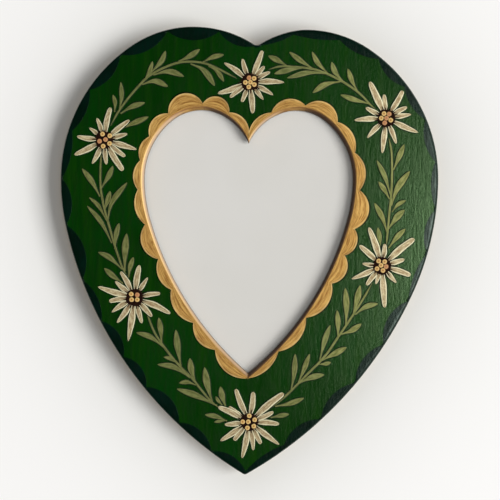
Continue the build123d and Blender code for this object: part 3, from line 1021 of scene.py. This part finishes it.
def cluster_paint():
    look = Look("flower_middle_paint", (18, 5, 2), 0.7, Specular_IOR_Level=0.2)
    mottle = look.cloud(1.6, None, 4.0)
    look.blend(mottle, (44, 20, 8), 0.4, 0.7)
    return look.finish(mottle, 0.1, 0.6)


def dot_paint():
    """Pale round the edge and deeper in the middle, some reddish."""
    look = Look("golden_dot_paint", (172, 112, 44), 0.42)
    _, across, number = look.stroke()
    look.blend(across, (218, 184, 116), 0.15, 0.6)
    look.blend(look.chance(number), (180, 114, 82), 0.68, 0.75, 0.75)
    look.blend(across, (110, 66, 28), 0.88, 1.0)
    return look.finish(look.cloud(2.5), 0.05, 0.5)


def card_look():
    look = Look("white_card", (216, 214, 208), 0.75)
    fibres = look.cloud(2.0, None, 4.0)
    look.blend(look.cloud(0.02, None, 2.0), (219, 217, 212), 0.3, 0.7)
    look.blend(fibres, (212, 210, 205), 0.3, 0.7, 0.25)
    return look.finish(fibres, 0.01, 0.3)


def pane_look():
    """Clear thin pane: light passes straight through, and only its gloss shows."""
    return Look("clear_pane", (255, 255, 255), 0.03, Alpha=0.02).finish()


def backing_look():
    look = Look("hardboard", (142, 104, 66), 0.65)
    flecks = look.cloud(1.4, 0.7, 5.0, 0.7)
    look.blend(look.cloud(0.05, None, 2.0), (126, 90, 56), 0.3, 0.7)
    look.blend(flecks, (92, 62, 38), 0.5, 0.75, 0.7)
    return look.finish(flecks, 0.05, 0.5)


def metal_look(name, colour, dull, roughness):
    look = Look(name, colour, roughness, Metallic=1.0)
    look.blend(look.cloud(0.5), dull, 0.4, 0.75)
    scratches = look.cloud(6.0, 0.8, 4.0)
    rough = look.spread(scratches, 0.3, 0.7, roughness - 0.08, roughness + 0.14)
    return look.finish(scratches, 0.02, 0.4, rough)


def rubber_look():
    look = Look("bumper_rubber", (46, 43, 40), 0.7)
    grain = look.cloud(4.0)
    look.blend(grain, (66, 62, 58), 0.35, 0.7)
    return look.finish(grain, 0.04, 0.5)


def dress(start, material):
    """Gives a material to the solids whose names begin with start."""
    for name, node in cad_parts.items():
        if name.startswith(start):
            node.data.materials.clear()
            node.data.materials.append(material)


# Stage

WALL_HALF = 1500.0
WALL_OUT = 0.05  # how far behind the frame the wall lies
WALL_NEAR_HALF = 210.0  # of its finer part behind the frame
WALL_STEP_NEAR = 6.0
# Painted shade: the wall is darker near the frame and gets paler away from it.
PAINTED_SHADE_FADE = 30.0  # how fast it gets paler away from the frame
PAINTED_SHADE_TONE = (224, 223, 218)
FAR_TONE = (253, 252, 250)
LAMP_DISTANCE = 9000.0
FILL = 0.22  # of the world on matt surfaces
DARK_STUDIO = 0.01  # what gloss sees of the studio in front
SIDE_STUDIO = 0.8  # and far to the right
BEHIND_FADE = (-0.1, 0.4)  # of a ray's way in Y, where the bright studio behind begins
BESIDE_FADE = (0.25, 0.6)  # and in X, where the one on the right does


def make_wall():
    """The pale wall behind the frame. From behind, and for light, it is not there."""
    near = np.arange(-WALL_NEAR_HALF, WALL_NEAR_HALF + 1, WALL_STEP_NEAR)
    marks = np.concatenate(((-WALL_HALF,), near, (WALL_HALF,)))
    places = np.array([(x, z + AIM_LEVEL) for x in marks for z in marks])
    faces = grid_faces(len(marks), len(marks))
    wall = new_object("wall", [(x, WALL_OUT, z) for x, z in places], faces)
    # Painted shade round the frame: how far each point of the wall is out of it.
    clear = distance_to(board_outline, places)
    layer = wall.data.attributes.new("out_of_painted_shade", "FLOAT", "POINT")
    layer.data.foreach_set("value", (1 - np.exp(-clear / PAINTED_SHADE_FADE)).astype(np.float32))
    look = Look("pale_wall", PAINTED_SHADE_TONE, 0.9, Specular_IOR_Level=0.1)
    look.cover(look.node("Attribute", attribute_name="out_of_painted_shade").outputs["Fac"], FAR_TONE)
    wall.data.materials.append(look.finish())
    rays = look.node("LightPath").outputs
    seen = look.math("MAXIMUM", rays["Is Camera Ray"], look.mirrored(rays))
    front = look.math("SUBTRACT", 1.0, look.node("NewGeometry").outputs["Backfacing"])
    clear_through = look.node("BsdfTransparent").outputs[0]
    shaders = {0: look.times(seen, front), 1: clear_through, 2: look.shader.outputs[0]}
    both = look.node("MixShader", shaders).outputs[0]
    look.set(look.tree.nodes["Material Output"].inputs["Surface"], both)


# Lamps: the way to each, its size and power, and whether gloss shows it. The sheen's is close to
# the mirror's way at the frame's right side.
SOFT_BOXES = {
    "key_softbox": ((1.07, -1.0, -0.18), (4300, 6500), 884, False),
    "sheen_softbox": ((0.235, -1.0, -0.022), (1350, 2400), 78, True),
    "rear_softbox": ((-0.5, 1.0, 0.55), (6000, 6000), 530, True),
}


def soft_box(name, way, size, power, in_gloss):
    data = bpy.data.lights.new(name, "AREA")
    data.shape = "RECTANGLE"
    data.size, data.size_y = size[0] * MM, size[1] * MM
    data.energy = power
    lamp = bpy.data.objects.new(name, data)
    way = Vector(way).normalized()
    lamp.location = (Vector((0, 0, AIM_LEVEL)) + way * LAMP_DISTANCE) * MM
    lamp.rotation_mode = "QUATERNION"
    lamp.rotation_quaternion = way.to_track_quat("Z", "Y")
    lamp.visible_glossy = in_gloss
    scene.collection.objects.link(lamp)


def make_world():
    """White to the camera, dim to everything else except far to the right and behind."""
    world = bpy.data.worlds.new("studio")
    scene.world = world
    studio = Nodes(world)
    rays = studio.node("LightPath").outputs
    way = studio.parts(studio.node("TexCoord").outputs["Generated"])
    mirrored = studio.mirrored(rays)
    base = studio.math("ADD", studio.times(mirrored, DARK_STUDIO - FILL), FILL)
    behind = studio.spread(way[1], *BEHIND_FADE, ends="LINEAR")
    beside = studio.spread(way[0], *BESIDE_FADE, 0.0, SIDE_STUDIO, "LINEAR")
    towards = studio.times(mirrored, studio.math("MAXIMUM", behind, beside))
    bright = studio.math("MAXIMUM", rays["Is Camera Ray"], towards)
    background = studio.tree.nodes["Background"].inputs
    background["Color"].default_value = (1, 1, 1, 1)
    studio.set(background["Strength"], studio.math("MAXIMUM", bright, base))


# The object and its paint

make_camera()
make_wall()
for name, values in SOFT_BOXES.items():
    soft_box(name, *values)
make_world()
scene.view_settings.view_transform = "Standard"

dress("heart_frame", green_paint())
dress("glazing_pane", pane_look())
dress("photo_card", card_look())
dress("backing_board", backing_look())
dress(
    ("turn_button", "button_screw"),
    metal_look("zinc_plated_steel", (188, 188, 184), (150, 150, 148), 0.36),
)
dress("hanger", metal_look("brassed_steel", (208, 176, 98), (164, 132, 68), 0.3))
dress("bumper", rubber_look())

wall_end = pane_front - PANE_CLEARANCE
border(
    "ochre_border", opening_outline, opening_ways, pane_outline, -1,
    OCHRE_SCALLOPS, 0, wall_end, OCHRE_ROWS, ochre_paint(),
)
border(
    "dark_rim", board_outline, board_ways, board_outline, 1,
    RIM_SCALLOPS, EDGE_ROUND, board_back, RIM_ROWS, dark_paint(),
)
glaze = glaze_paint()
paint_sprays(glaze)
paint_flowers(glaze)
